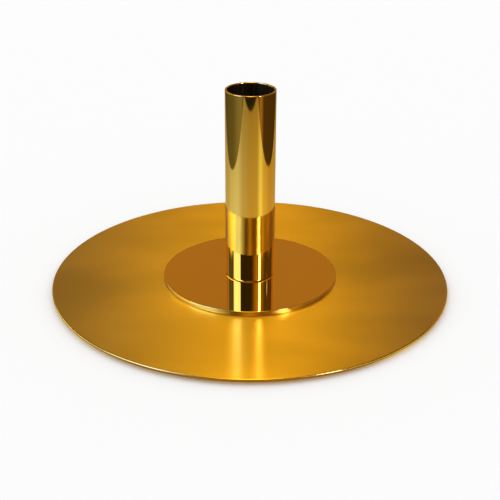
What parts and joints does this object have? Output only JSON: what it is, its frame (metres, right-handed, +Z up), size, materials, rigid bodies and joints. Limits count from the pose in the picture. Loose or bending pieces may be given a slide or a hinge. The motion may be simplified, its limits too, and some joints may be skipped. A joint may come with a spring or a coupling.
{
  "type": "candle holder",
  "caption": "Low brass holder for a slim dinner candle: an open polished tube on a small polished disc, clamped to a wide, thin, round base plate with a linear-brushed finish.",
  "frame": {"origin": "on the tube's axis, on the surface that the felt pads stand on", "axes": "+Z up along the tube's axis; the plate is brushed along X, and -Y is the side the picture shows"},
  "size_m": [0.203, 0.203, 0.103],
  "materials": {
    "brushed_brass": "satin, brushed in one direction along X",
    "polished_brass": "mirror polished",
    "turned_brass": "as turned or pressed, unpolished",
    "zinc_plated_steel": "bright zinc plate",
    "felt": "black wool felt"
  },
  "bodies": {
    "root": {"base_plate": "brushed_brass", "collar_disc": "polished_brass", "socket_tube": "polished_brass", "foot_plug": "turned_brass", "candle_stop": "turned_brass", "clamp_screw": "zinc_plated_steel", "felt_pad_1": "felt", "felt_pad_2": "felt", "felt_pad_3": "felt", "felt_pad_4": "felt"}
  },
  "joints": []
}
